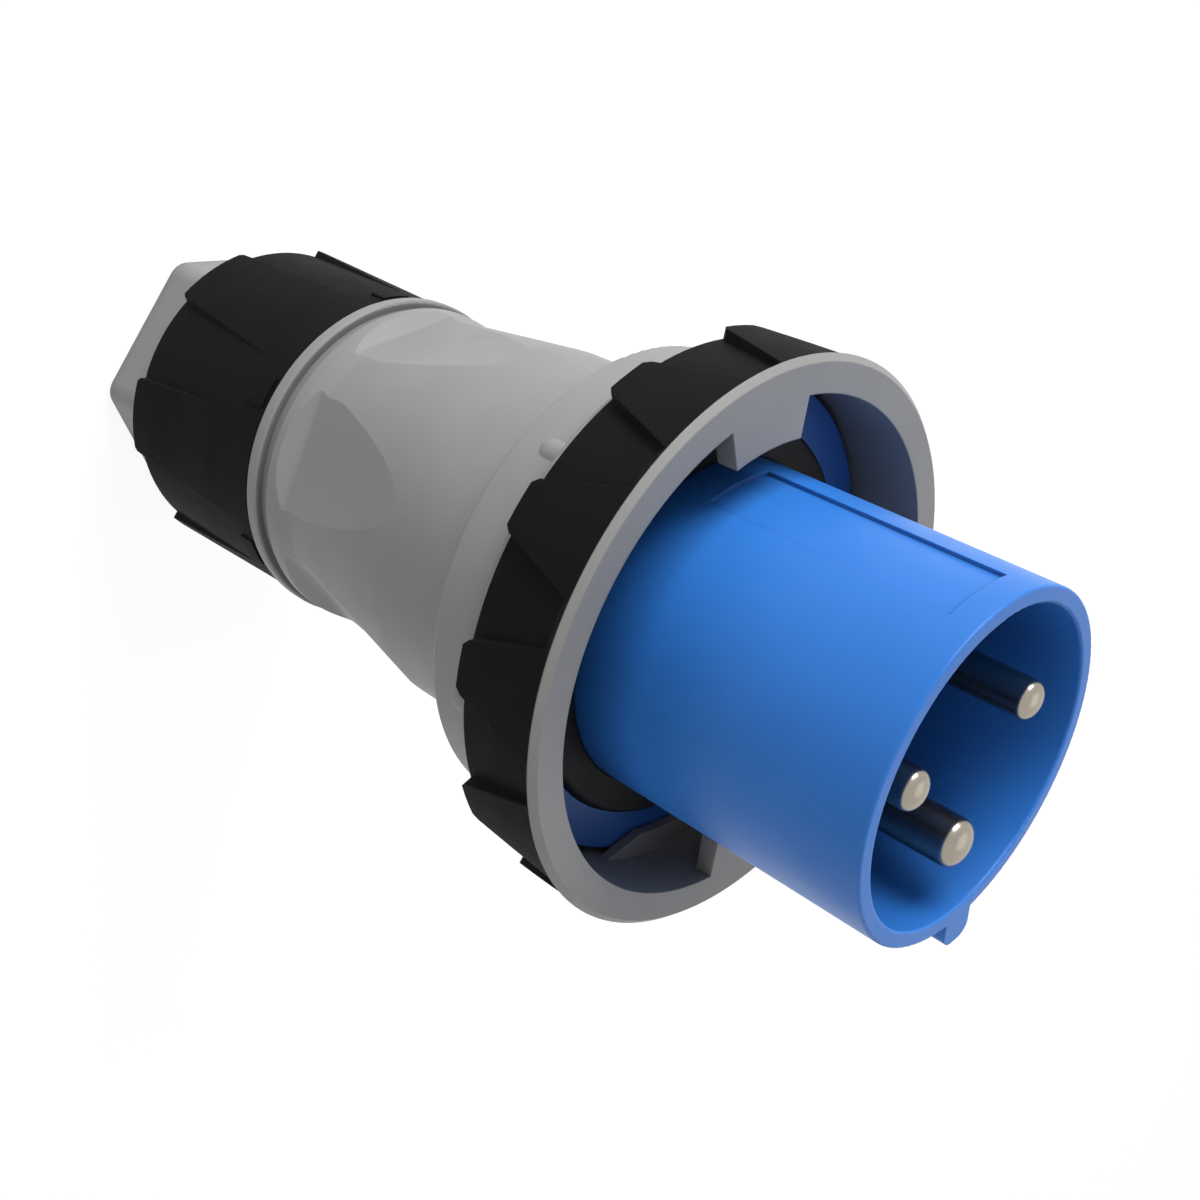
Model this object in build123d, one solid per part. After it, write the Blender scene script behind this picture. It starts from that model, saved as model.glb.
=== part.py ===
from build123d import *
import os
from math import atan, cos, degrees, radians, sin, sqrt, tan

os.makedirs("parts", exist_ok=True)

# Industrial pin and sleeve plug, watertight pattern, two pins and earth, shown without its cord.
# The plug stands on the hexagon end of its gland nut with the mouth of the shroud upwards.
# The origin is the centre of the hexagon's end face, +Z runs along the axis to the mouth,
# and the key rib and the earth pin are on the -Y side. All sizes are in millimetres.

# Driving dimensions of the contact carrier
shroud_radius = 35.5
shroud_wall = 3.4
shroud_length = 68.2
shroud_floor_depth = 56.0
shroud_floor_thickness = 6.0
insert_ledge_width = 1.5
insert_ledge_thickness = 3.0
mouth_edge = 0.5
carrier_flange_thickness = 3.6
carrier_web_thickness = 3.8
skirt_inset = 0.4
skirt_wall = 4.6
skirt_length = 7.7
key_width = 7.8
key_height = 5.7
key_rounding = 2.8
key_angle = -90.0
label_length = 52.5
label_from_mouth = 6.0
label_span = 28.0
label_depth = 0.8

# Driving dimensions of the face gasket
gasket_width = 7.5
gasket_recess = 2.5
gasket_proud = 1.5
gasket_rounding = 1.1

# Driving dimensions of the pins and terminals
pin_circle_radius = 18.65
earth_pin_radius = 5.0
phase_pin_radius = 4.0
phase_angle_from_earth = 105.0
pin_tip_depth = 0.4
pin_dome_share = 0.6
pin_collar_step = 0.6
pin_relief_depth = 0.4
pin_relief_length = 0.8
shoulder_thickness = 2.4
shoulder_overhang = 0.9
barrel_length = 30.0
barrel_wall = 3.0
earth_wire_radius = 4.6
phase_wire_radius = 4.0
wire_bore_depth = 24.0
clamp_screw_radius = 2.5
clamp_screw_length = 8.2
clamp_screw_spacing = 9.0
clamp_screw_from_end = 5.5
clamp_screw_backed_off = 2.6
hex_socket_radius = 1.5
hex_socket_depth = 2.6
pin_seal_section = 1.9

# Driving dimensions of the terminal block
block_inset = 0.5
block_length = 34.5
block_screw_circle = 20.5
block_screw_radius = 2.0
block_screw_length = 20.0
block_screw_head_radius = 3.7
block_screw_head_height = 2.8
block_screw_bite = 4.6
wire_funnel = 1.6

# Driving dimensions of the housing
housing_flange_inset = 0.6
housing_flange_length = 14.1
housing_flange_edge = 1.1
housing_hub_land = 2.8
housing_body_inset = 1.1
housing_body_length = 28.9
housing_body_fillet = 7.5
housing_cone_blend = 30.0
housing_cone_length = 34.5
housing_waist_drop = 0.8
housing_flare_length = 5.3
front_collar_drop = 0.75
front_collar_width = 3.2
collar_groove_depth = 1.3
collar_groove_width = 2.8
rear_collar_step = 0.6
rear_collar_width = 3.2
collar_edge = 0.6
housing_wall = 4.6
neck_bore_step = 0.6
neck_bore_length = 16.0
socket_depth = 14.7
flat_count = 6
flat_first_angle = 30.3
flat_depth = 2.35
flat_level_length = 5.75
flat_slope_length = 32.4
flat_collar_bite = 0.7
flat_rounding = 2.2
flat_blend = 45.0
cam_count = 6
cam_first_angle = 1.0
cam_radius = 3.4
cam_height = 0.75
cam_length = 9.6

# Driving dimensions of the threaded neck and what sits in it
neck_wall = 4.1
neck_length = 40.6
grommet_seat_radius = 27.4
grommet_length = 20.0
grommet_ledge = 4.0
grommet_split_radius = 19.6
grommet_rounding = 1.0
cable_radius = 12.0
cable_lead = 1.5
washer_thickness = 1.8
washer_width = 5.6
cage_ring_height = 4.0
cage_ring_wall = 3.7
cage_finger_length = 9.0
cage_finger_count = 12
cage_slot_width = 1.8
cage_finger_wall = 2.2

# Driving dimensions of the gland nut
hex_wall = 3.6
hex_corner_rounding = 5.2
hex_length = 18.1
hex_edge = 1.2
nut_wall = 4.0
nut_grip_length = 46.2
nut_cone_start = 11.0
nut_cone_width = 6.6
nut_seat_step = 0.2
nut_floor_height = 21.0
nut_phase_angle = 47.5
thread_clearance = 0.3

# Driving dimensions of the nut's grip
nut_grip_rear_thickness = 1.6
nut_grip_front_thickness = 2.55
nut_pad_rear_height = 1.7
nut_pad_front_drop = 0.15
nut_pad_count = 6
nut_pad_rear_half_angle = 13.6
nut_pad_front_half_angle = 19.0
nut_pad_length = 39.0
nut_pad_corner = 0.8
nut_stub_half_angle = 5.4
nut_stub_length = 5.6
nut_stub_height = 0.45
nut_stub_corner = 1.1

# Driving dimensions of the locking ring
ring_rim_height = 4.7
ring_bore_clearance = 1.4
ring_wall = 2.7
ring_front_rise = 16.3
ring_chamfer = 1.25
ring_lip_clearance = 0.5
ring_lip_overlap = 1.4
ring_retainer_thickness = 3.2
lug_count = 2
lug_first_angle = 90.0
lug_half_angle = 11.6
lug_reach = 8.3
lug_thickness = 4.6
lug_ramp = 1.2
tab_reach = 3.9
tab_thickness = 2.2
tab_inner_half_angle = 21.5
tab_outer_half_angle = 31.0
stop_count = 2
stop_first_angle = 10.0
stop_travel = 60.0
stop_tooth_angle = 9.4
stop_slot_depth = 1.4

# Driving dimensions of the ring's grip
ring_grip_length = 19.8
ring_grip_rear_thickness = 1.8
ring_band_length = 2.6
ring_band_step = 1.6
ring_pad_drop = 0.55
ring_pad_count = 12
ring_pad_first_angle = 15.0
ring_pad_rear_half_angle = 5.2
ring_pad_front_half_angle = 10.8
ring_pad_corner = 1.2

# Driving dimensions of the seals and the flange screws
seal_section = 2.2
seal_groove_width = 3.0
seal_from_end = 1.7
collar_seal_width = 2.6
seal_rounding_share = 0.33
flange_screw_land = 3.8
flange_screw_count = 4
flange_screw_radius = 1.75
flange_screw_length = 14.0
flange_screw_head_radius = 3.0
flange_screw_head_height = 1.7
cross_recess_width = 0.9
cross_recess_share = 1.3
cross_recess_depth = 1.2

# Named clearances
bond_gap = 0.05
slip_gap = 0.15
moving_gap = 0.4
face_gap = 0.3

# How far a cutter passes beyond the face that it cuts
cut_over = 1.0

# Radii worked out from the driving dimensions, going outwards from the shroud to the locking ring
shroud_bore_radius = shroud_radius - shroud_wall
ledge_bore_radius = shroud_bore_radius - insert_ledge_width
block_radius = shroud_bore_radius - block_inset
chamber_radius = block_radius + slip_gap
gasket_radius = shroud_radius + gasket_width
skirt_radius = gasket_radius - skirt_inset
housing_body_radius = skirt_radius - housing_body_inset
flange_screw_circle = gasket_radius + flange_screw_land
housing_hub_radius = flange_screw_circle + housing_hub_land
ring_lip_bore_radius = housing_hub_radius + ring_lip_clearance
carrier_flange_radius = ring_lip_bore_radius + ring_lip_overlap
housing_flange_radius = carrier_flange_radius - housing_flange_inset
tab_inner_radius = carrier_flange_radius - tab_reach
ring_bore_radius = carrier_flange_radius + ring_bore_clearance
lug_inner_radius = ring_bore_radius - lug_reach
ring_core_radius = ring_bore_radius + ring_wall
ring_grip_rear_radius = ring_core_radius + ring_grip_rear_thickness
ring_front_radius = ring_core_radius + ring_rim_height
ring_pad_radius = ring_front_radius - ring_pad_drop

# Radii worked out outwards from the grommet's seat to the nut's grip and the housing's collars
neck_radius = grommet_seat_radius + neck_wall
neck_bore_radius = grommet_seat_radius + neck_bore_step
washer_bore_radius = grommet_seat_radius - face_gap - washer_width
cage_ring_bore_radius = grommet_seat_radius - face_gap - cage_ring_wall
nut_seat_radius = grommet_seat_radius + nut_seat_step
nut_cone_bore_radius = nut_seat_radius - nut_cone_width
hex_flat_radius = nut_seat_radius + hex_wall
nut_core_radius = neck_radius + thread_clearance + nut_wall
nut_grip_rear_radius = nut_core_radius + nut_grip_rear_thickness
nut_grip_front_radius = nut_core_radius + nut_grip_front_thickness
nut_pad_rear_radius = nut_grip_rear_radius + nut_pad_rear_height
nut_pad_front_radius = nut_grip_front_radius - nut_pad_front_drop
rear_collar_radius = nut_grip_front_radius + rear_collar_step
front_collar_radius = rear_collar_radius - front_collar_drop
collar_groove_radius = front_collar_radius - collar_groove_depth
housing_waist_radius = front_collar_radius - housing_waist_drop
flat_root_radius = housing_waist_radius - flat_depth

# Heights worked out from the driving dimensions, going up from the hexagon's end face
grip_rear_z = hex_length
nut_front_z = hex_length + nut_grip_length
collar_rear_z = nut_front_z + face_gap
collar_groove_z = collar_rear_z + rear_collar_width
front_collar_z = collar_groove_z + collar_groove_width
flare_z = front_collar_z + front_collar_width
waist_z = flare_z + housing_flare_length
cone_top_z = waist_z + housing_cone_length
flange_rear_z = cone_top_z + housing_body_length
flange_front_z = flange_rear_z + housing_flange_length
retainer_z = flange_front_z + moving_gap
carrier_seat_z = retainer_z + ring_retainer_thickness + moving_gap
carrier_face_z = carrier_seat_z + carrier_flange_thickness
mouth_z = carrier_face_z + shroud_length
floor_front_z = mouth_z - shroud_floor_depth
floor_rear_z = floor_front_z - shroud_floor_thickness
ledge_rear_z = floor_rear_z - insert_ledge_thickness
gasket_floor_z = carrier_face_z - gasket_recess
web_rear_z = gasket_floor_z - carrier_web_thickness
skirt_end_z = carrier_seat_z - skirt_length
screw_cone_z = carrier_face_z - flange_screw_head_height
screw_rim_z = screw_cone_z + flange_screw_head_radius - flange_screw_radius
block_rear_z = floor_rear_z - block_length
ring_front_z = carrier_face_z + ring_front_rise
ring_grip_front_z = ring_front_z - ring_chamfer - face_gap / 2
ring_grip_rear_z = ring_grip_front_z - ring_grip_length
neck_end_z = collar_rear_z - neck_length
washer_z = neck_end_z + cage_ring_height + face_gap
grommet_z = washer_z + washer_thickness + face_gap
grommet_top_z = grommet_z + grommet_length

phase_angles = [key_angle + phase_angle_from_earth, key_angle - phase_angle_from_earth]


def turned(corners, roundings=()):
    """Solid of revolution about Z, from (radius, height) corners and (corner number, radius) roundings."""
    face = make_face(Polyline(*corners, close=True))
    for number, radius in roundings:
        corner = Vector(*corners[number])
        nearest = face.vertices().sort_by(lambda vertex: (Vector(vertex) - corner).length)[0]
        face = fillet(nearest, radius)
    return revolve(Plane.XZ * face, Axis.Z)


def tube(inner, outer, low, high):
    """Plain ring between two radii and two heights."""
    return turned([(inner, low), (outer, low), (outer, high), (inner, high)])


def rod(radius, low, high):
    """Plain upright cylinder between two heights."""
    return Pos(0, 0, low) * Cylinder(radius, high - low, align=(Align.CENTER, Align.CENTER, Align.MIN))


def sector(inner, outer, low, high, first, last):
    """Part of a ring from one angle to another, in degrees about Z."""
    corners = [(inner, low), (outer, low), (outer, high), (inner, high)]
    face = Plane.XZ * make_face(Polyline(*corners, close=True))
    return Rot(0, 0, first) * revolve(face, Axis.Z, last - first)


def around(shape, count, first):
    """Copies of a shape made at angle 0, spaced evenly about Z from the first angle."""
    return [Rot(0, 0, first + 360 / count * number) * shape for number in range(count)]


def at_angle(shape, radius, angle):
    """A shape made on the Z axis, moved out to a radius at an angle."""
    return Rot(0, 0, angle) * Pos(radius, 0, 0) * shape


def write(name, shape):
    """Write one node's STEP file under its name."""
    export_step(shape, f"parts/{name}.step")


def group(solids):
    """Several separate like solids that share one node."""
    return Compound(children=[Solid(solid.solid().wrapped) for solid in solids])


def flared_pad(inner, outer_rear, outer_front, rear_z, front_z, rear_half, front_half, corner):
    """One grip pad at angle 0: a raised patch that widens forwards, with its rear corners cut."""
    rear = outer_rear * sin(radians(rear_half))
    front = outer_rear * sin(radians(front_half))
    outline = Polyline((-rear + corner, rear_z), (rear - corner, rear_z), (rear, rear_z + corner),
                       (front, front_z), (-front, front_z), (-rear, rear_z + corner), close=True)
    prism = extrude(Plane.YZ * make_face(outline), outer_rear * 2)
    skin = turned([(inner, rear_z), (outer_rear, rear_z), (outer_front, front_z), (inner, front_z)])
    return prism & skin


def cross_recess(radius, top_z):
    """Cutter for a plain cross recess in a screw head whose top is at the given height."""
    long_side = radius * cross_recess_share
    size = (long_side, cross_recess_width, cross_recess_depth)
    blade = Pos(0, 0, top_z - cross_recess_depth / 2) * Box(*size)
    return blade + Rot(0, 0, 90) * blade


def cross_screw(shaft_radius, head_radius, head_height, seat_z, length):
    """Pan-head screw on the Z axis, its head resting on the seat and its shaft going down."""
    point = shaft_radius / 2
    end_z = seat_z - length
    top_z = seat_z + head_height
    body = turned([(0, end_z), (point, end_z), (shaft_radius, end_z + shaft_radius), (shaft_radius, seat_z),
                   (head_radius, seat_z), (head_radius, top_z), (0, top_z)], [(5, head_height / 2)])
    return body - cross_recess(head_radius, top_z)


def contact_carrier():
    """Blue moulding: shroud with an inner ledge, gasket recess, flange and the skirt in the housing."""
    skirt_bore = skirt_radius - skirt_wall
    outline = [(ledge_bore_radius, floor_rear_z), (shroud_bore_radius, floor_rear_z),
               (shroud_bore_radius, mouth_z), (shroud_radius, mouth_z),
               (shroud_radius, gasket_floor_z), (gasket_radius, gasket_floor_z),
               (gasket_radius, carrier_face_z), (carrier_flange_radius, carrier_face_z),
               (carrier_flange_radius, carrier_seat_z), (skirt_radius, carrier_seat_z),
               (skirt_radius, skirt_end_z), (skirt_bore, skirt_end_z), (skirt_bore, web_rear_z),
               (chamber_radius, web_rear_z), (chamber_radius, ledge_rear_z),
               (ledge_bore_radius, ledge_rear_z)]
    body = turned(outline, [(2, mouth_edge), (3, mouth_edge), (7, mouth_edge)])
    key_outer = shroud_radius + key_height
    key_inner = shroud_radius - shroud_wall / 2
    key_face = Pos((key_inner + key_outer) / 2, 0) * Rectangle(key_outer - key_inner, key_width)
    key_face = fillet(key_face.vertices().group_by(Axis.X)[-1], key_rounding)
    key_low = carrier_face_z + gasket_proud + face_gap
    key = Pos(0, 0, key_low) * extrude(key_face, mouth_z - key_low)
    body = body + Rot(0, 0, key_angle) * key
    label_top = mouth_z - label_from_mouth
    label_low = label_top - label_length
    label_start = key_angle + 180 - label_span / 2
    body = body - sector(shroud_radius - label_depth, shroud_radius + cut_over, label_low, label_top,
                         label_start, label_start + label_span)
    groove_low = skirt_end_z + seal_from_end
    groove_high = groove_low + seal_groove_width
    body = body - tube(skirt_radius - seal_section, skirt_radius + cut_over, groove_low, groove_high)
    hole_radius = flange_screw_radius + slip_gap
    sink_radius = flange_screw_head_radius + slip_gap
    low = carrier_seat_z - cut_over
    high = carrier_face_z + cut_over
    screw_hole = turned([(0, low), (hole_radius, low), (hole_radius, screw_cone_z),
                         (sink_radius, screw_rim_z), (sink_radius, high), (0, high)])
    for hole in around(Pos(flange_screw_circle, 0, 0) * screw_hole, flange_screw_count, 0):
        body = body - hole
    return body


def contact_insert():
    """Floor of the shroud: a disc on the carrier's ledge that holds the pins and their seals."""
    body = rod(shroud_bore_radius - bond_gap, floor_rear_z, floor_front_z)
    for angle, radius in pin_places():
        collar = pin_collar_radius(radius)
        hole = rod(collar + slip_gap, floor_rear_z - cut_over, floor_front_z + cut_over)
        seal_room = rod(collar + pin_seal_section + 2 * slip_gap, floor_rear_z - cut_over,
                        floor_rear_z + pin_seal_section + slip_gap)
        body = body - at_angle(hole + seal_room, pin_circle_radius, angle)
    bite = rod(block_screw_radius + bond_gap, floor_rear_z - cut_over, floor_rear_z + block_screw_bite)
    for angle in block_screw_angles():
        body = body - at_angle(bite, block_screw_circle, angle)
    return body


def pin_places():
    """Angle and radius of each pin, the earth pin first."""
    return [(key_angle, earth_pin_radius)] + [(angle, phase_pin_radius) for angle in phase_angles]


def block_screw_angles():
    """The block's screws stand midway between neighbouring pins."""
    half_way = phase_angle_from_earth / 2
    return [key_angle + half_way, key_angle - half_way, key_angle + 180]


def pin_collar_radius(pin_radius):
    """Radius of the thicker length of a pin that fills its hole in the floor."""
    return pin_radius + pin_collar_step


def wire_radius(pin_radius):
    """Radius of the wire bore in a pin's barrel."""
    return earth_wire_radius if pin_radius == earth_pin_radius else phase_wire_radius


def barrel_radius(pin_radius):
    """Outer radius of a pin's barrel."""
    return wire_radius(pin_radius) + barrel_wall


def shoulder_radius(pin_radius):
    """Outer radius of the shoulder that is clamped behind the floor."""
    return barrel_radius(pin_radius) + shoulder_overhang


def pin_seal(radius):
    """Small ring seal on a pin's collar, in the rear of the shroud's floor."""
    low = floor_rear_z + bond_gap
    inner = pin_collar_radius(radius) + bond_gap
    outer = pin_collar_radius(radius) + pin_seal_section
    high = low + pin_seal_section
    rounding = pin_seal_section * seal_rounding_share
    return turned([(inner, low), (outer, low), (outer, high), (inner, high)],
                  [(1, rounding), (2, rounding)])


def pin_seals():
    """One ring seal for each of the three pins."""
    return group([at_angle(pin_seal(radius), pin_circle_radius, angle) for angle, radius in pin_places()])


def pin(radius):
    """Turned pin on the Z axis: domed tip, relief groove, collar in the floor, shoulder, wire barrel."""
    tip_z = mouth_z - pin_tip_depth
    dome = radius * pin_dome_share
    shoulder = shoulder_radius(radius)
    barrel = barrel_radius(radius)
    shoulder_z = floor_rear_z - shoulder_thickness
    end_z = shoulder_z - barrel_length
    wire = wire_radius(radius)
    bore_end_z = end_z + wire_bore_depth
    dome_z = tip_z - dome
    collar = pin_collar_radius(radius)
    neck = radius - pin_relief_depth
    wall_z = floor_front_z + pin_relief_length
    turned_pin = turned([(0, dome_z), (0, bore_end_z), (wire, bore_end_z), (wire, end_z), (barrel, end_z),
                         (barrel, shoulder_z), (shoulder, shoulder_z), (shoulder, floor_rear_z),
                         (collar, floor_rear_z), (collar, floor_front_z), (neck, floor_front_z),
                         (neck, wall_z), (radius, wall_z), (radius, dome_z)])
    quarter = Ellipse(radius, dome) & Pos(radius / 2, dome / 2) * Rectangle(radius, dome)
    turned_pin = turned_pin + revolve(Plane.XZ * Pos(0, dome_z) * quarter, Axis.Z)
    tapped = Rot(0, 90, 0) * rod(clamp_screw_radius, 0, barrel + cut_over)
    for height in clamp_heights():
        turned_pin = turned_pin - Pos(0, 0, height) * tapped
    return turned_pin


def clamp_heights():
    """Heights of the two clamp screws of a barrel."""
    first = floor_rear_z - shoulder_thickness - barrel_length + clamp_screw_from_end
    return [first, first + clamp_screw_spacing]


def clamp_screw(pin_radius, height):
    """Headless clamp screw lying along +X, backed off from the wire bore of a barrel on the Z axis."""
    start = wire_radius(pin_radius) - clamp_screw_backed_off
    body = rod(clamp_screw_radius - bond_gap, 0, clamp_screw_length)
    socket = extrude(RegularPolygon(hex_socket_radius, 6), hex_socket_depth + cut_over)
    socket = Pos(0, 0, clamp_screw_length - hex_socket_depth) * socket
    return Pos(start, 0, height) * Rot(0, 90, 0) * (body - socket)


def terminal_screws():
    """Two clamp screws for each of the three barrels."""
    return group([at_angle(clamp_screw(radius, height), pin_circle_radius, angle)
                  for angle, radius in pin_places() for height in clamp_heights()])


def terminal_block():
    """Rear insulator: clamps the pins' shoulders and the ledge against the floor, walls off the barrels."""
    block = rod(block_radius, block_rear_z, ledge_rear_z - bond_gap)
    block = block + rod(ledge_bore_radius - slip_gap, ledge_rear_z - bond_gap, floor_rear_z)
    shoulder_z = floor_rear_z - shoulder_thickness
    end_z = shoulder_z - barrel_length
    for angle, radius in pin_places():
        barrel = barrel_radius(radius)
        room = rod(shoulder_radius(radius) + slip_gap, shoulder_z - bond_gap, floor_rear_z + cut_over)
        room = room + rod(barrel + slip_gap, end_z - face_gap, shoulder_z)
        room = room + turned([(0, block_rear_z - cut_over), (barrel, block_rear_z - cut_over),
                              (barrel, block_rear_z), (barrel - wire_funnel, end_z), (0, end_z)])
        room = at_angle(room, pin_circle_radius, angle)
        access = Rot(0, 90, 0) * rod(clamp_screw_radius + slip_gap, 0, block_radius)
        for height in clamp_heights():
            room = room + Rot(0, 0, angle) * Pos(pin_circle_radius, 0, height) * access
        block = block - room
    seat_z = block_screw_seat_z()
    hole = rod(block_screw_radius + slip_gap, seat_z - cut_over, floor_rear_z + cut_over)
    hole = hole + rod(block_screw_head_radius + slip_gap, block_rear_z - cut_over, seat_z)
    for angle in block_screw_angles():
        block = block - at_angle(hole, block_screw_circle, angle)
    return block


def block_screw_seat_z():
    """Height of the step on which the heads of the block's screws bear, deep in their counterbores."""
    return floor_rear_z + block_screw_bite - face_gap - block_screw_length


def block_screws():
    """Three pan-head screws that enter from the rear, so each one is made head up and turned over."""
    screw = cross_screw(block_screw_radius, block_screw_head_radius, block_screw_head_height, 0,
                        block_screw_length)
    screw = Pos(0, 0, block_screw_seat_z()) * Rot(180, 0, 0) * screw
    return group([at_angle(screw, block_screw_circle, angle) for angle in block_screw_angles()])


def face_gasket():
    """Rubber ring round the foot of the shroud, standing a little proud of the flange."""
    high = carrier_face_z + gasket_proud
    outer = gasket_radius - slip_gap
    inner = shroud_radius + slip_gap
    return turned([(inner, gasket_floor_z), (outer, gasket_floor_z), (outer, high), (inner, high)],
                  [(2, gasket_rounding)])


def housing_seal():
    """Ring seal in the skirt's groove, which presses on the housing's socket."""
    low = skirt_end_z + seal_from_end + slip_gap
    high = low + seal_groove_width - 2 * slip_gap
    inner = skirt_radius - seal_section + slip_gap
    outer = skirt_radius + slip_gap
    rounding = (high - low) * seal_rounding_share
    return turned([(inner, low), (outer, low), (outer, high), (inner, high)],
                  [(1, rounding), (2, rounding)])


def housing():
    """Grey shell: hub and flange, body with six scalloped flats, two collars and the threaded neck."""
    socket_radius = skirt_radius + 2 * slip_gap
    body_bore = housing_body_radius - housing_wall
    socket_floor_z = carrier_seat_z - socket_depth
    ledge_z = grommet_top_z + face_gap
    bore_top_z = ledge_z + grommet_ledge
    cone_bore_z = bore_top_z + neck_bore_length
    outline = [(grommet_seat_radius, neck_end_z), (neck_radius, neck_end_z), (neck_radius, collar_rear_z),
               (rear_collar_radius, collar_rear_z), (rear_collar_radius, collar_groove_z),
               (collar_groove_radius, collar_groove_z), (collar_groove_radius, front_collar_z),
               (front_collar_radius, front_collar_z), (front_collar_radius, flare_z),
               (housing_waist_radius, waist_z), (housing_body_radius, cone_top_z),
               (housing_body_radius, flange_rear_z), (housing_flange_radius, flange_rear_z),
               (housing_flange_radius, flange_front_z), (housing_hub_radius, flange_front_z),
               (housing_hub_radius, carrier_seat_z), (socket_radius, carrier_seat_z),
               (socket_radius, socket_floor_z), (body_bore, socket_floor_z - (socket_radius - body_bore)),
               (body_bore, cone_top_z), (neck_bore_radius, cone_bore_z), (neck_bore_radius, bore_top_z),
               (neck_bore_radius - grommet_ledge, bore_top_z), (neck_bore_radius - grommet_ledge, ledge_z),
               (grommet_seat_radius, ledge_z)]
    body = turned(outline, [(3, collar_edge), (4, collar_edge), (7, collar_edge), (9, housing_flare_length),
                            (10, housing_cone_blend), (11, housing_body_fillet), (12, housing_flange_edge)])
    for cut in around(flat_cutter(), flat_count, flat_first_angle):
        body = body - cut
    for cam in around(flange_cam(), cam_count, cam_first_angle):
        body = body + cam
    hole_low = carrier_face_z - flange_screw_length - cut_over
    hole = rod(flange_screw_radius + bond_gap, hole_low, carrier_seat_z + cut_over)
    for cut in around(Pos(flange_screw_circle, 0, 0) * hole, flange_screw_count, 0):
        body = body - cut
    slot_span = stop_travel + stop_tooth_angle + 2 * stop_slack()
    slot = sector(housing_hub_radius - stop_slot_depth, housing_hub_radius + cut_over, flange_front_z,
                  carrier_seat_z, 0, slot_span)
    for cut in around(slot, stop_count, stop_first_angle):
        body = body - cut
    return body


def stop_slack():
    """Angle that the moving gap takes at the hub, left at each end of the stop's travel."""
    return degrees(face_gap / housing_hub_radius)


def flat_cutter():
    """Cutter for one scalloped flat at angle 0: steep rear wall, level floor, slope up to the body."""
    root = (flat_root_radius, flare_z + front_collar_radius - flat_root_radius - flat_collar_bite)
    bend = (flat_root_radius, root[1] + flat_level_length)
    slope = (housing_body_radius - flat_root_radius) / flat_slope_length
    end_z = bend[1] + flat_slope_length + cut_over
    reach = housing_flange_radius * 2
    face = make_face(Polyline((reach, root[1] - (reach - root[0])), root, bend,
                              (housing_body_radius + slope * cut_over, end_z), (reach, end_z), close=True))
    blend_room = (flat_level_length - flat_rounding / 2) / tan(atan(slope) / 2)
    for corner, radius in [(root, flat_rounding), (bend, min(flat_blend, blend_room))]:
        nearest = face.vertices().sort_by(lambda vertex: (Vector(vertex) - Vector(*corner)).length)[0]
        face = fillet(nearest, radius)
    return extrude(Plane.XZ * face, housing_body_radius, both=True)


def flange_cam():
    """Small moulded cam on the flange's side at angle 0, with a rounded rear end."""
    centre = housing_flange_radius + cam_height - cam_radius
    high = flange_front_z
    low = high - cam_length + cam_radius
    bar = rod(cam_radius, low, high) + Pos(0, 0, low) * Sphere(cam_radius)
    keep = rod(cam_radius * 2, low - cam_radius * 2, high)
    return Pos(centre, 0, 0) * (bar & keep)


def flange_screws():
    """Countersunk screws, flush in the carrier's flange, that hold it to the housing's hub."""
    end_z = carrier_face_z - flange_screw_length
    point = flange_screw_radius / 2
    screw = turned([(0, end_z), (point, end_z), (flange_screw_radius, end_z + flange_screw_radius),
                    (flange_screw_radius, screw_cone_z), (flange_screw_head_radius, screw_rim_z),
                    (flange_screw_head_radius, carrier_face_z), (0, carrier_face_z)])
    screw = screw - cross_recess(flange_screw_head_radius, carrier_face_z)
    return group(around(Pos(flange_screw_circle, 0, 0) * screw, flange_screw_count, 0))


def locking_ring():
    """Grey bayonet ring with two inward lugs, two tabs over the carrier's flange and two stop teeth."""
    grip_seat_z = ring_grip_front_z + bond_gap
    chamfer_z = ring_front_z - ring_chamfer
    retainer_top_z = retainer_z + ring_retainer_thickness
    ring = turned([(ring_lip_bore_radius, retainer_z), (ring_core_radius, retainer_z),
                   (ring_core_radius, grip_seat_z), (ring_front_radius, grip_seat_z),
                   (ring_front_radius, chamfer_z), (ring_front_radius - ring_chamfer, ring_front_z),
                   (ring_bore_radius, ring_front_z), (ring_bore_radius, retainer_top_z),
                   (ring_lip_bore_radius, retainer_top_z)])
    root = (ring_bore_radius + ring_core_radius) / 2
    rear_z = ring_front_z - lug_thickness
    lug = sector(lug_inner_radius, root, rear_z, ring_front_z, -lug_half_angle, lug_half_angle)
    edge = lug_inner_radius * sin(radians(lug_half_angle))
    under_z = rear_z - cut_over
    ramp = Polyline((-edge * 2, under_z), (edge / 2, under_z), (-edge * 2, rear_z + lug_ramp), close=True)
    lug = lug - extrude(Plane.YZ * make_face(ramp), ring_front_radius)
    for piece in [lug, ring_tab(root)]:
        for copy in around(piece, lug_count, lug_first_angle):
            ring = ring + copy
    tooth = sector(housing_hub_radius - stop_slot_depth + face_gap,
                   (ring_lip_bore_radius + ring_bore_radius) / 2, retainer_z, retainer_top_z,
                   stop_slack(), stop_slack() + stop_tooth_angle)
    for piece in around(tooth, stop_count, stop_first_angle):
        ring = ring + piece
    return ring


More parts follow.
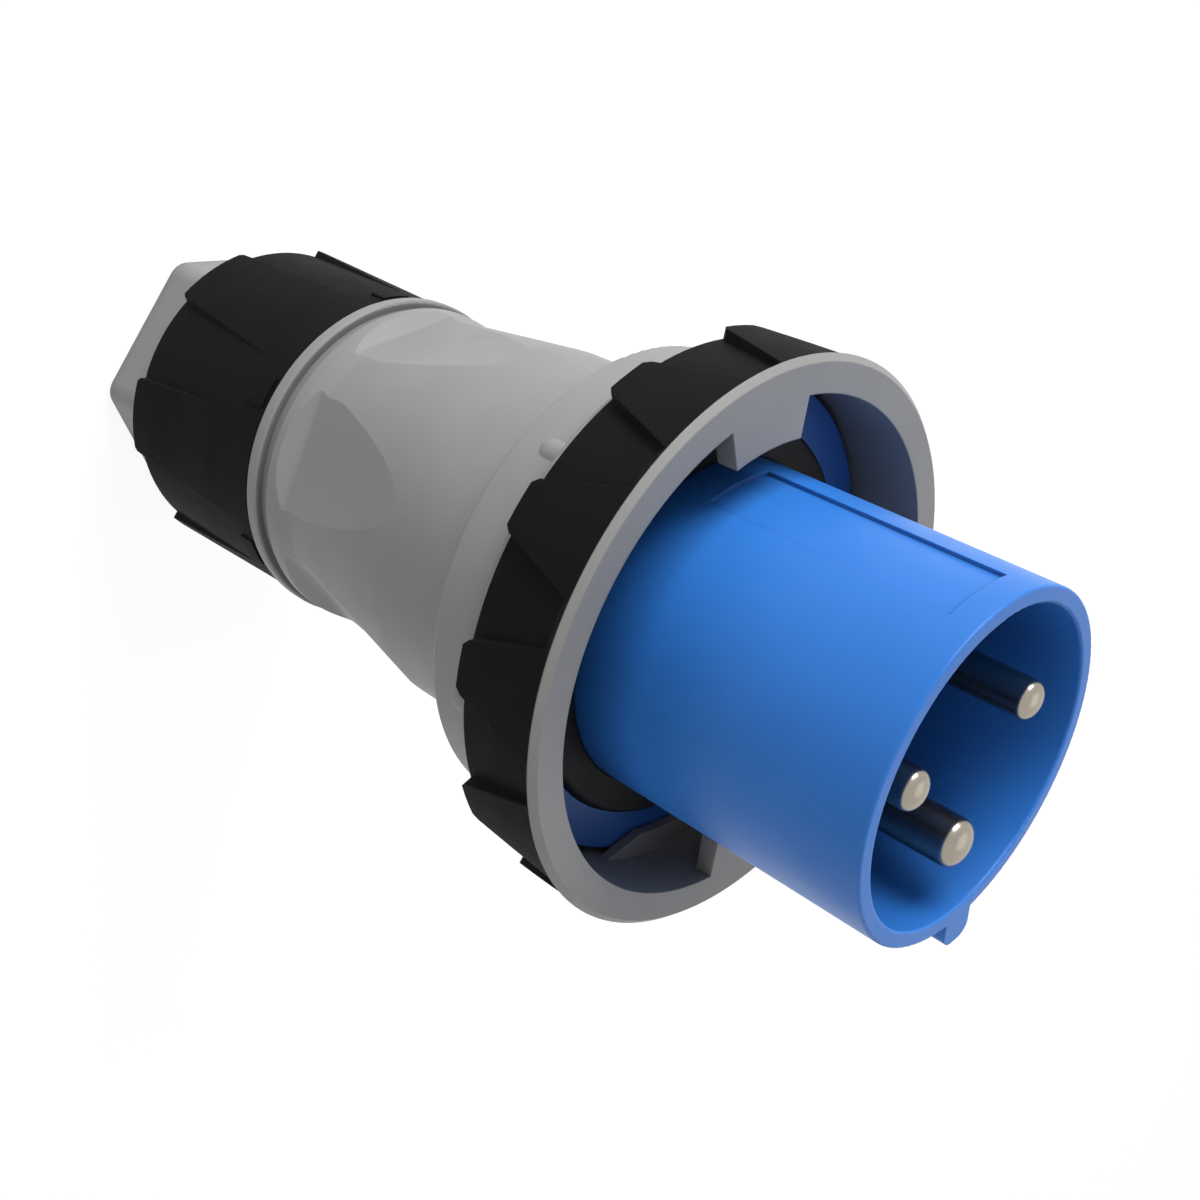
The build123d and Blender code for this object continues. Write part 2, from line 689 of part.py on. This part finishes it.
def ring_tab(root):
    """Flat tab at angle 0 that reaches in over the edge of the carrier's flange, with slanted ends."""
    inner_x = tab_inner_radius * cos(radians(tab_inner_half_angle))
    inner_y = tab_inner_radius * sin(radians(tab_inner_half_angle))
    outer_x = ring_bore_radius * cos(radians(tab_outer_half_angle))
    outer_y = ring_bore_radius * sin(radians(tab_outer_half_angle))
    plan = make_face(Polyline((inner_x, -inner_y), (outer_x, -outer_y), (ring_front_radius, -outer_y),
                              (ring_front_radius, outer_y), (outer_x, outer_y), (inner_x, inner_y),
                              close=True))
    low = carrier_face_z + face_gap
    plate = Pos(0, 0, low) * extrude(plan, tab_thickness)
    return plate & tube(tab_inner_radius, root, low, low + tab_thickness)


def ring_grip():
    """Black soft grip of the locking ring: twelve pads that widen forwards into a flush front band."""
    inner = ring_core_radius + bond_gap
    band_radius = ring_pad_radius - ring_band_step
    band_z = ring_grip_front_z - ring_band_length
    grip = turned([(inner, ring_grip_rear_z), (ring_grip_rear_radius, ring_grip_rear_z),
                   (band_radius, band_z), (ring_front_radius - bond_gap, ring_grip_front_z),
                   (inner, ring_grip_front_z)])
    pad = flared_pad(inner + slip_gap, ring_pad_radius, ring_pad_radius, ring_grip_rear_z,
                     ring_grip_front_z - bond_gap, ring_pad_rear_half_angle, ring_pad_front_half_angle,
                     ring_pad_corner)
    for piece in around(pad, ring_pad_count, ring_pad_first_angle):
        grip = grip + piece
    return grip


def gland_nut():
    """Grey nut: hexagon end with the cable entry, inner cone for the cage, threaded bore, seal recess."""
    section = RegularPolygon(hex_flat_radius, 6, major_radius=False)
    hexagon = extrude(fillet(section.vertices(), hex_corner_rounding), hex_length)
    hexagon = chamfer(hexagon.faces().sort_by(Axis.Z)[0].edges(), hex_edge)
    hexagon = Rot(0, 0, nut_phase_angle) * hexagon
    nut = hexagon + rod(nut_core_radius, hex_length, nut_front_z)
    seal_recess_z = collar_rear_z - collar_seal_width - 2 * face_gap
    thread_radius = neck_radius + thread_clearance
    recess_radius = collar_seal_radius() + face_gap
    over_z = nut_front_z + cut_over
    bore = turned([(0, -cut_over), (nut_cone_bore_radius, -cut_over),
                   (nut_cone_bore_radius, nut_cone_start), (nut_seat_radius, nut_floor_height),
                   (thread_radius, nut_floor_height), (thread_radius, seal_recess_z),
                   (recess_radius, seal_recess_z), (recess_radius, over_z), (0, over_z)])
    return nut - bore


def collar_seal_radius():
    """Outer radius of the seal between the nut and the collar."""
    return neck_radius + seal_section


def nut_grip():
    """Black soft grip of the nut: six flared pads over the hexagon's corners, a short stub between them."""
    inner = nut_core_radius + bond_gap
    grip = turned([(inner, grip_rear_z), (nut_grip_rear_radius, grip_rear_z),
                   (nut_grip_front_radius, nut_front_z), (inner, nut_front_z)],
                  [(1, collar_edge), (2, collar_edge)])
    pad = flared_pad(inner + slip_gap, nut_pad_rear_radius, nut_pad_front_radius, grip_rear_z,
                     grip_rear_z + nut_pad_length, nut_pad_rear_half_angle, nut_pad_front_half_angle,
                     nut_pad_corner)
    for piece in around(pad, nut_pad_count, nut_phase_angle):
        grip = grip + piece
    stub_high = nut_front_z - collar_edge * 2
    stub_outer = nut_grip_front_radius + nut_stub_height
    stub = flared_pad(inner + slip_gap, stub_outer, stub_outer, stub_high - nut_stub_length, stub_high,
                      nut_stub_half_angle, nut_stub_half_angle, nut_stub_corner)
    for piece in around(stub, nut_pad_count, nut_phase_angle + 180 / nut_pad_count):
        grip = grip + piece
    return grip


def collar_seal():
    """Ring seal on the threaded neck, under the rear collar."""
    high = collar_rear_z
    low = high - collar_seal_width
    inner = neck_radius + bond_gap
    outer = collar_seal_radius()
    rounding = collar_seal_width * seal_rounding_share
    return turned([(inner, low), (outer, low), (outer, high), (inner, high)],
                  [(1, rounding), (2, rounding)])


def grommet_outer():
    """Outer rubber ring of the sealing grommet, in the neck's seat."""
    inner = grommet_split_radius + bond_gap
    outer = grommet_seat_radius - slip_gap
    return turned([(inner, grommet_z), (outer, grommet_z), (outer, grommet_top_z), (inner, grommet_top_z)],
                  [(1, grommet_rounding), (2, grommet_rounding)])


def grommet_inner():
    """Peel-out inner ring of the grommet, with the bore for the cable."""
    outer = grommet_split_radius
    funnel = cable_radius + cable_lead
    return turned([(cable_radius, grommet_z + cable_lead), (funnel, grommet_z), (outer, grommet_z),
                   (outer, grommet_top_z), (funnel, grommet_top_z),
                   (cable_radius, grommet_top_z - cable_lead)])


def thrust_washer():
    """Slip washer that the cage pushes against the grommet."""
    top_z = washer_z + washer_thickness
    return tube(washer_bore_radius, grommet_seat_radius - face_gap, washer_z, top_z)


def clamping_cage():
    """Cord grip: a ring inside the neck's end with tapered fingers that lie along the nut's cone."""
    outer = grommet_seat_radius - face_gap
    top_z = washer_z
    ring_low_z = top_z - cage_ring_height
    slope = (nut_seat_radius - nut_cone_bore_radius) / (nut_floor_height - nut_cone_start)
    tip_z = ring_low_z - cage_finger_length
    normal_gap = face_gap * sqrt(1 + slope ** 2)
    seat_at_tip = nut_cone_bore_radius + slope * (tip_z - nut_cone_start) - normal_gap
    seat_at_root = nut_cone_bore_radius + slope * (nut_floor_height - nut_cone_start) - normal_gap
    body = turned([(cage_ring_bore_radius, top_z), (cage_ring_bore_radius, ring_low_z),
                   (seat_at_tip - cage_finger_wall, tip_z), (seat_at_tip, tip_z),
                   (seat_at_root, nut_floor_height), (outer, nut_floor_height + (outer - seat_at_root)),
                   (outer, top_z)])
    slot = Box(outer, cage_slot_width, cage_finger_length + 2 * face_gap)
    slot = Pos(outer, 0, (tip_z + ring_low_z) / 2) * slot
    for cut in around(slot, cage_finger_count, 0):
        body = body - cut
    return body


write("contact_carrier", contact_carrier())
write("contact_insert", contact_insert())
write("face_gasket", face_gasket())
write("earth_pin", at_angle(pin(earth_pin_radius), pin_circle_radius, key_angle))
write("line_pin", at_angle(pin(phase_pin_radius), pin_circle_radius, phase_angles[1]))
write("neutral_pin", at_angle(pin(phase_pin_radius), pin_circle_radius, phase_angles[0]))
write("pin_seals", pin_seals())
write("terminal_block", terminal_block())
write("terminal_screws", terminal_screws())
write("block_screws", block_screws())
write("flange_screws", flange_screws())
write("housing_seal", housing_seal())
write("housing", housing())
write("locking_ring", locking_ring())
write("ring_grip", ring_grip())
write("gland_nut", gland_nut())
write("nut_grip", nut_grip())
write("collar_seal", collar_seal())
write("thrust_washer", thrust_washer())
write("clamping_cage", clamping_cage())
write("grommet_outer", grommet_outer())
write("grommet_inner", grommet_inner())
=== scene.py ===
from math import radians

import bpy
from mathutils import Matrix, Vector


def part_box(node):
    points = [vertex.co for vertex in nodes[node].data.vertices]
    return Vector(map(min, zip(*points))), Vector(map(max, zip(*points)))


# Looks of the pin and sleeve plug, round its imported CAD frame. All lengths are in metres.

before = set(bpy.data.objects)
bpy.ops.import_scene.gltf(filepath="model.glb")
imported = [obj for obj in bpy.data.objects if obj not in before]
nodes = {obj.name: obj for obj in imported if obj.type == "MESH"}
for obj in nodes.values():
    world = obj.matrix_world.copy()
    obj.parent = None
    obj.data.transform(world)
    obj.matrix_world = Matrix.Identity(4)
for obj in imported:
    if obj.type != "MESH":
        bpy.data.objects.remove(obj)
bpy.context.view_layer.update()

# The photograph's camera, in the frame of the part
camera_place = Vector((-0.2040, 0.1790, 0.3396))
look_direction = Vector((0.5956, -0.5443, -0.5907)).normalized()
picture_up = Vector((0.3865, 0.8389, -0.3833)).normalized()
picture_right = look_direction.cross(picture_up).normalized()
view_angle = radians(41.15)
nearest_seen = 0.01

# Colours as they are written in a material, in linear light
blue = (0.032, 0.205, 0.69)
grey = (0.300, 0.300, 0.302)
ring_grey = (0.292, 0.289, 0.283)
black = (0.0078, 0.0079, 0.0080)
seal_black = (0.012, 0.012, 0.0125)
grommet_black = (0.045, 0.045, 0.047)
nickel = (0.36, 0.325, 0.27)
zinc = (0.60, 0.60, 0.62)
block_dark = (0.055, 0.055, 0.060)
cage_grey = (0.55, 0.55, 0.53)
floor_white = (0.82, 0.82, 0.82)

# Painted shade in corners and grooves, a darker colour laid where the ambient occlusion node finds little
# open room: how far it reaches, its share of the open colour, and its warmth
seam_painted_shade = (0.0014, 0.10, 0.0)
fine_painted_shade = (0.006, 0.30, 0.0)
groove_painted_shade = (0.007, 0.25, 0.0)
recess_painted_shade = (0.018, 0.42, 0.0)
ring_painted_shade = (0.021, 0.42, 0.17)

# Openness where the painted shade is full and where it ends, and the rays that measure it
open_band = (0.15, 0.80)
painted_shade_samples = 4

# Deeper painted shade on the blue pieces, apart from a band of radii that holds the shroud's outer wall
deep_blue_painted_shade = (0.042, 0.34, 0.0)
unshaded_band_radius = 0.0385
unshaded_band_reach = 0.005

# Moulded finishes: broad flow marks, smaller clouds that vary gloss and wear, rubbed edges and fine grain
flow_noise = (22.0, 3.0, 0.55)
flow_band = (0.35, 0.65)
flow_tones = (0.955, 1.04)
flow_depth = 0.00012
flow_strength = 0.25
cloud_noise = (95.0, 4.0, 0.6)
cloud_gloss_band = (0.3, 0.7)
cloud_gloss_change = (-0.04, 0.05)
cloud_wear_band = (0.42, 0.62)
least_wear = 0.15
rubbed_tone = 1.6
rubbed_gloss = 0.08
edge_band = (0.80, 0.995)
edge_samples = 6
grain_detail = 2.0
grain_roughness = 0.6
grain_strength = 0.55

# Turned metal: rings from the tool, in radians of their wave per metre, and stains
turning_wave = 21000.0
turning_noise = (260.0, 3.0, 0.6)
turning_wander = 5.0
turning_depth = 0.000002
turning_strength = 0.5
stain_noise = (70.0, 4.0, 0.6)
stain_band = (0.35, 0.7)
stain_gloss_band = (0.3, 0.7)
stain_gloss_change = (-0.03, 0.05)
stain_tones = (1.03, 0.88)
metal_edge = 0.0002

# Screw thread of the neck and the nut, drawn as relief on their plain walls. Its flanks are in pitches
thread_pitch = 0.003
thread_depth = 0.0009
thread_flanks = (0.08, 0.42)
half_pitch = 0.5
neck_radius = 0.0315
nut_bore_radius = 0.0318
wall_tolerance = 0.00012
nut_seal_room = 0.0035

# Floor and light: shares of the floor's white, its glow and the world's light, less from straight above
floor_sides = 96
floor_radius = 6.0
floor_drop = 0.0002
floor_shadow_share = 0.30
floor_bounce_share = 0.30
floor_glow = 0.875
world_light = 0.76
world_top_light = 0.04
world_top_band = (0.60, 0.92)
plug_middle = Vector((0, 0, 0.12))


def add(tree, kind, **settings):
    """New shader node with its settings."""
    node = tree.nodes.new(kind)
    for name, value in settings.items():
        setattr(node, name, value)
    return node


def feed(tree, socket, value):
    """Give an input a number, a colour or another node's output."""
    if isinstance(value, bpy.types.NodeSocket):
        tree.links.new(value, socket)
    else:
        socket.default_value = value


def maths(tree, operation, first, second=None, clamp=False):
    """Math node whose inputs are numbers or sockets. Gives its output socket."""
    node = add(tree, "ShaderNodeMath", operation=operation, use_clamp=clamp)
    feed(tree, node.inputs[0], first)
    if second is not None:
        feed(tree, node.inputs[1], second)
    return node.outputs[0]


def noise(tree, place, scale, detail, roughness):
    """Noise texture over object coordinates. Gives its grey output."""
    node = add(tree, "ShaderNodeTexNoise")
    node.inputs["Scale"].default_value = scale
    node.inputs["Detail"].default_value = detail
    node.inputs["Roughness"].default_value = roughness
    tree.links.new(place, node.inputs["Vector"])
    return node.outputs["Fac"]


def spread(tree, value, band, result=(0.0, 1.0)):
    """Map range node that clamps: a band of values becomes the result's range. Gives its output."""
    node = add(tree, "ShaderNodeMapRange")
    for name, number in zip(["From Min", "From Max", "To Min", "To Max"], band + result):
        node.inputs[name].default_value = number
    tree.links.new(value, node.inputs["Value"])
    return node.outputs["Result"]


def shaded(colour, factor):
    """A colour made lighter or darker, with its fourth value."""
    return tuple(min(1.0, part * factor) for part in colour) + (1.0,)


def painted_shade_colour(colour, painted_shade):
    """A darker colour painted as shade into corners and grooves, tinted by its warmth."""
    share, warmth = painted_shade[1:]
    tints = (1 + warmth, 1, 1 - warmth)
    return tuple(part * share * tint for part, tint in zip(colour, tints)) + (1.0,)


def two_colours(tree, factor, first, second):
    """Mix of two colours, each a colour or a socket. Inputs 6 and 7 and output 2 are the node's colours."""
    node = add(tree, "ShaderNodeMix", data_type="RGBA")
    tree.links.new(factor, node.inputs["Factor"])
    feed(tree, node.inputs[6], first)
    feed(tree, node.inputs[7], second)
    return node.outputs[2]


def relief(tree, height, distance, strength=1.0, normal=None):
    """Bump node. Gives its normal output."""
    node = add(tree, "ShaderNodeBump")
    node.inputs["Strength"].default_value = strength
    node.inputs["Distance"].default_value = distance
    tree.links.new(height, node.inputs["Height"])
    if normal is not None:
        tree.links.new(normal, node.inputs["Normal"])
    return node.outputs["Normal"]


def round_about(roughness, change):
    """Lowest and highest roughness round a middle one."""
    return tuple(roughness + part for part in change)


def rounded_edges(tree, radius):
    """Normals of edges rounded by a small radius, and a mask that is 1 on those edges."""
    bevel = add(tree, "ShaderNodeBevel", samples=edge_samples)
    bevel.inputs["Radius"].default_value = radius
    plain = add(tree, "ShaderNodeNewGeometry")
    dot = add(tree, "ShaderNodeVectorMath", operation="DOT_PRODUCT")
    tree.links.new(bevel.outputs["Normal"], dot.inputs[0])
    tree.links.new(plain.outputs["Normal"], dot.inputs[1])
    return bevel.outputs["Normal"], spread(tree, dot.outputs["Value"], edge_band, (1.0, 0.0))


def openness(tree, reach):
    """Socket that is 1 on open surfaces and falls towards 0 in corners and grooves, where shade is painted.
    """
    node = add(tree, "ShaderNodeAmbientOcclusion", samples=painted_shade_samples)
    node.inputs["Distance"].default_value = reach
    return spread(tree, node.outputs["AO"], open_band)


def from_axis(tree, place):
    """Distance of a place from the Z axis, and its X, Y and Z."""
    axes = add(tree, "ShaderNodeSeparateXYZ")
    tree.links.new(place, axes.inputs[0])
    x, y, z = axes.outputs
    squares = maths(tree, "ADD", maths(tree, "MULTIPLY", x, x), maths(tree, "MULTIPLY", y, y))
    return maths(tree, "SQRT", squares), x, y, z


def gap_to(tree, across, radius):
    """How much a distance from the axis differs from a radius."""
    return maths(tree, "ABSOLUTE", maths(tree, "SUBTRACT", across, radius))


def start(name):
    """New material with its tree, its main shader and its object coordinates."""
    material = bpy.data.materials.new(name)
    material.use_nodes = True
    tree = material.node_tree
    shader = tree.nodes["Principled BSDF"]
    place = add(tree, "ShaderNodeTexCoord").outputs["Object"]
    return material, tree, shader, place


def thread_height(tree, place, radius, low, high):
    """Height of a screw thread on the plain wall of the given radius, between two heights."""
    across, x, y, z = from_axis(tree, place)
    turn = maths(tree, "DIVIDE", maths(tree, "ARCTAN2", y, x), radians(360))
    climb = maths(tree, "ADD", maths(tree, "DIVIDE", z, thread_pitch), turn)
    wave = spread(tree, maths(tree, "PINGPONG", climb, half_pitch), thread_flanks)
    between = maths(tree, "MULTIPLY", maths(tree, "GREATER_THAN", z, low), maths(tree, "LESS_THAN", z, high))
    on_wall = maths(tree, "LESS_THAN", gap_to(tree, across, radius), wall_tolerance)
    return maths(tree, "MULTIPLY", wave, maths(tree, "MULTIPLY", on_wall, between))


def with_painted_shade(tree, tone, colour, place, painted_shades, deep_painted_shade):
    """A tone with painted shade in its corners, and deeper painted shade outside the unshaded band of radii.
    """
    for painted_shade in painted_shades:
        tone = two_colours(tree, openness(tree, painted_shade[0]), painted_shade_colour(colour, painted_shade), tone)
    # Deeper painted shade in the blue pieces' hollows, left off the band of radii at the shroud's outer wall
    if deep_painted_shade:
        across = from_axis(tree, place)[0]
        off_band = maths(tree, "GREATER_THAN", gap_to(tree, across, unshaded_band_radius), unshaded_band_reach)
        closed = maths(tree, "SUBTRACT", 1.0, openness(tree, deep_painted_shade[0]))
        tone = two_colours(tree, maths(tree, "MULTIPLY", off_band, closed), tone, painted_shade_colour(colour, deep_painted_shade))
    return tone


def moulded(name, colour, roughness, grain, grain_scale, wear, edge=0.0004, level=0.5,
            painted_shades=(groove_painted_shade,), deep_painted_shade=None, thread=None):
    """Moulded plastic or rubber: fine spark grain, faint flow marks, rounded and slightly rubbed edges, and
    painted shade in corners and grooves.
    """
    material, tree, shader, place = start(name)
    soft, rim = rounded_edges(tree, edge)
    flow = noise(tree, place, *flow_noise)
    cloud = noise(tree, place, *cloud_noise)
    spark = noise(tree, place, grain_scale, grain_detail, grain_roughness)
    dark, light = flow_tones
    tone = two_colours(tree, spread(tree, flow, flow_band), shaded(colour, dark), shaded(colour, light))
    rubbed = maths(tree, "MULTIPLY", rim, spread(tree, cloud, cloud_wear_band, (least_wear, 1.0)))
    tone = two_colours(tree, maths(tree, "MULTIPLY", rubbed, wear), tone, shaded(colour, rubbed_tone))
    # Painted shade: the tone darkens in corners and grooves, where ambient occlusion finds them
    tone = with_painted_shade(tree, tone, colour, place, painted_shades, deep_painted_shade)
    tree.links.new(tone, shader.inputs["Base Color"])
    gloss = spread(tree, cloud, cloud_gloss_band, round_about(roughness, cloud_gloss_change))
    gloss = maths(tree, "SUBTRACT", gloss, maths(tree, "MULTIPLY", rubbed, rubbed_gloss))
    tree.links.new(gloss, shader.inputs["Roughness"])
    shader.inputs["Specular IOR Level"].default_value = level
    normal = relief(tree, spark, grain, grain_strength, soft)
    normal = relief(tree, flow, flow_depth, flow_strength, normal)
    if thread:
        normal = relief(tree, thread_height(tree, place, *thread), thread_depth, normal=normal)
    tree.links.new(normal, shader.inputs["Normal"])
    return material


def turned_metal(name, colour, roughness, centre):
    """Turned and plated metal: fine rings round the upright line through a centre, stains, rounded edges."""
    material, tree, shader, place = start(name)
    moved = add(tree, "ShaderNodeVectorMath", operation="SUBTRACT")
    tree.links.new(place, moved.inputs[0])
    moved.inputs[1].default_value = centre
    across, _, _, z = from_axis(tree, moved.outputs[0])
    along = maths(tree, "MULTIPLY", maths(tree, "ADD", across, z), turning_wave)
    wander = maths(tree, "MULTIPLY", noise(tree, place, *turning_noise), turning_wander)
    lines = maths(tree, "SINE", maths(tree, "ADD", along, wander))
    stain = noise(tree, place, *stain_noise)
    clean, stained = stain_tones
    tone = two_colours(tree, spread(tree, stain, stain_band), shaded(colour, clean), shaded(colour, stained))
    tree.links.new(tone, shader.inputs["Base Color"])
    shader.inputs["Metallic"].default_value = 1.0
    gloss = spread(tree, stain, stain_gloss_band, round_about(roughness, stain_gloss_change))
    tree.links.new(gloss, shader.inputs["Roughness"])
    soft = rounded_edges(tree, metal_edge)[0]
    tree.links.new(relief(tree, lines, turning_depth, turning_strength, soft), shader.inputs["Normal"])
    return material


def centre_of(name):
    """Centre of a node's box."""
    low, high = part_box(name)
    return (Vector(low) + Vector(high)) / 2


def dress(name, material):
    """Give one CAD node its material."""
    for slot in nodes[name].material_slots:
        slot.material = material


def light_paths(tree):
    """Socket that is 1 for what the camera sees, also by way of gloss or glass."""
    paths = add(tree, "ShaderNodeLightPath").outputs
    seen = maths(tree, "ADD", paths["Is Camera Ray"], paths["Is Glossy Ray"], clamp=True)
    return maths(tree, "ADD", seen, paths["Is Transmission Ray"], clamp=True)


def seen_or_not(tree, output, seen, unseen):
    """End a tree in one shader for what the camera sees and another for the light that it gives."""
    mix = add(tree, "ShaderNodeMixShader")
    tree.links.new(light_paths(tree), mix.inputs[0])
    tree.links.new(unseen.outputs[0], mix.inputs[1])
    tree.links.new(seen.outputs[0], mix.inputs[2])
    tree.links.new(mix.outputs[0], add(tree, output).inputs["Surface"])


def pale_floor():
    """Pale round floor under the hexagon's end. It looks white, and keeps a soft shadow of the plug."""
    bpy.ops.mesh.primitive_circle_add(vertices=floor_sides, radius=floor_radius, fill_type="NGON",
                                      location=(0, 0, -floor_drop))
    floor = bpy.context.object
    floor.name = "floor"
    material = bpy.data.materials.new("pale_floor")
    material.use_nodes = True
    tree = material.node_tree
    tree.nodes.clear()
    plain = add(tree, "ShaderNodeBsdfDiffuse")
    plain.inputs["Color"].default_value = shaded(floor_white, floor_bounce_share)
    faint = add(tree, "ShaderNodeBsdfDiffuse")
    faint.inputs["Color"].default_value = shaded(floor_white, floor_shadow_share)
    glow = add(tree, "ShaderNodeEmission")
    glow.inputs["Strength"].default_value = floor_glow
    both = add(tree, "ShaderNodeAddShader")
    tree.links.new(faint.outputs[0], both.inputs[0])
    tree.links.new(glow.outputs[0], both.inputs[1])
    seen_or_not(tree, "ShaderNodeOutputMaterial", both, plain)
    floor.data.materials.append(material)


def white_world():
    """Soft light from all round, weaker from straight above, which the camera sees as white."""
    world = bpy.data.worlds.new("studio")
    bpy.context.scene.world = world
    world.use_nodes = True
    tree = world.node_tree
    tree.nodes.clear()
    axes = add(tree, "ShaderNodeSeparateXYZ")
    tree.links.new(add(tree, "ShaderNodeTexCoord").outputs["Generated"], axes.inputs[0])
    dim = add(tree, "ShaderNodeBackground")
    strength = spread(tree, axes.outputs[2], world_top_band, (world_light, world_top_light))
    tree.links.new(strength, dim.inputs["Strength"])
    white = add(tree, "ShaderNodeBackground")
    white.inputs["Strength"].default_value = 1.0
    for node in [dim, white]:
        node.inputs["Color"].default_value = (1.0, 1.0, 1.0, 1.0)
    seen_or_not(tree, "ShaderNodeOutputWorld", white, dim)


def lamp(name, direction, distance, size, power):
    """Square soft lamp that faces the middle of the plug."""
    data = bpy.data.lights.new(name, "AREA")
    data.shape = "SQUARE"
    data.size = size
    data.energy = power
    thing = bpy.data.objects.new(name, data)
    bpy.context.collection.objects.link(thing)
    thing.location = plug_middle + Vector(direction).normalized() * distance
    thing.rotation_euler = (plug_middle - thing.location).to_track_quat("-Z", "Y").to_euler()


def camera():
    """Camera at the photograph's place and angle."""
    data = bpy.data.cameras.new("camera")
    data.sensor_fit = "HORIZONTAL"
    data.angle = view_angle
    data.clip_start = nearest_seen
    thing = bpy.data.objects.new("camera", data)
    bpy.context.collection.objects.link(thing)
    turn = Matrix((picture_right, picture_up, -look_direction)).transposed()
    thing.matrix_world = Matrix.Translation(camera_place) @ turn.to_4x4()
    bpy.context.scene.camera = thing


# Materials, one for each finish, with the thread's relief where the neck and the nut carry it
neck_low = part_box("housing")[0][2]
collar_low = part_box("nut_grip")[1][2]
neck_thread = (neck_radius, neck_low, collar_low)
nut_thread = (nut_bore_radius, neck_low, collar_low - nut_seal_room)
grey_finish = {"roughness": 0.46, "grain": 0.00005, "grain_scale": 2100.0, "wear": 0.12, "level": 0.36}
# Every moulded finish below has shade painted into its corners and grooves, and the blue one deeper painted
# shade in its hollows
blue_plastic = moulded("blue_plastic", blue, roughness=0.40, grain=0.00003, grain_scale=2600.0, wear=0.03,
                       level=0.32, painted_shades=(recess_painted_shade, seam_painted_shade), deep_painted_shade=deep_blue_painted_shade)
grey_housing = moulded("grey_plastic_housing", grey, **grey_finish, edge=0.0005, thread=neck_thread)
grey_nut = moulded("grey_plastic_nut", grey, **grey_finish, edge=0.0005, thread=nut_thread)
grey_ring = moulded("grey_plastic_ring", ring_grey, **grey_finish, painted_shades=(ring_painted_shade,))
black_grip = moulded("black_grip", black, roughness=0.68, grain=0.00010, grain_scale=1500.0, wear=0.15,
                     edge=0.0005, level=0.06, painted_shades=(fine_painted_shade,))
seal_rubber = moulded("seal_rubber", seal_black, roughness=0.50, grain=0.00004, grain_scale=1800.0, wear=0.2,
                      level=0.12)
grommet_rubber = moulded("grommet_rubber", grommet_black, roughness=0.60, grain=0.00006, grain_scale=1500.0,
                         wear=0.2, edge=0.0006, level=0.35)
block_plastic = moulded("block_plastic", block_dark, roughness=0.55, grain=0.00006, grain_scale=1700.0,
                        wear=0.2)
cage_plastic = moulded("cage_plastic", cage_grey, roughness=0.45, grain=0.00003, grain_scale=2200.0, wear=0.1)

looks = {
    "contact_carrier": blue_plastic, "contact_insert": blue_plastic, "face_gasket": seal_rubber,
    "pin_seals": seal_rubber, "housing_seal": seal_rubber, "collar_seal": seal_rubber,
    "terminal_block": block_plastic, "housing": grey_housing, "locking_ring": grey_ring,
    "ring_grip": black_grip, "gland_nut": grey_nut, "nut_grip": black_grip,
    "grommet_outer": grommet_rubber, "grommet_inner": grommet_rubber,
    "thrust_washer": cage_plastic, "clamping_cage": cage_plastic,
}
for name, material in looks.items():
    dress(name, material)
for name in ["earth_pin", "line_pin", "neutral_pin"]:
    dress(name, turned_metal(name + "_metal", nickel, roughness=0.25, centre=centre_of(name)))
for name in ["terminal_screws", "block_screws", "flange_screws"]:
    dress(name, turned_metal(name + "_steel", zinc, roughness=0.34, centre=centre_of(name)))

pale_floor()
white_world()
lamp("key", direction=(0.29, 0.92, 0.32), distance=1.1, size=0.6, power=10.5)
lamp("overhead_glint", direction=(0.40, -0.18, 0.90), distance=1.2, size=0.7, power=0.8)
camera()
bpy.context.scene.view_settings.view_transform = "Standard"
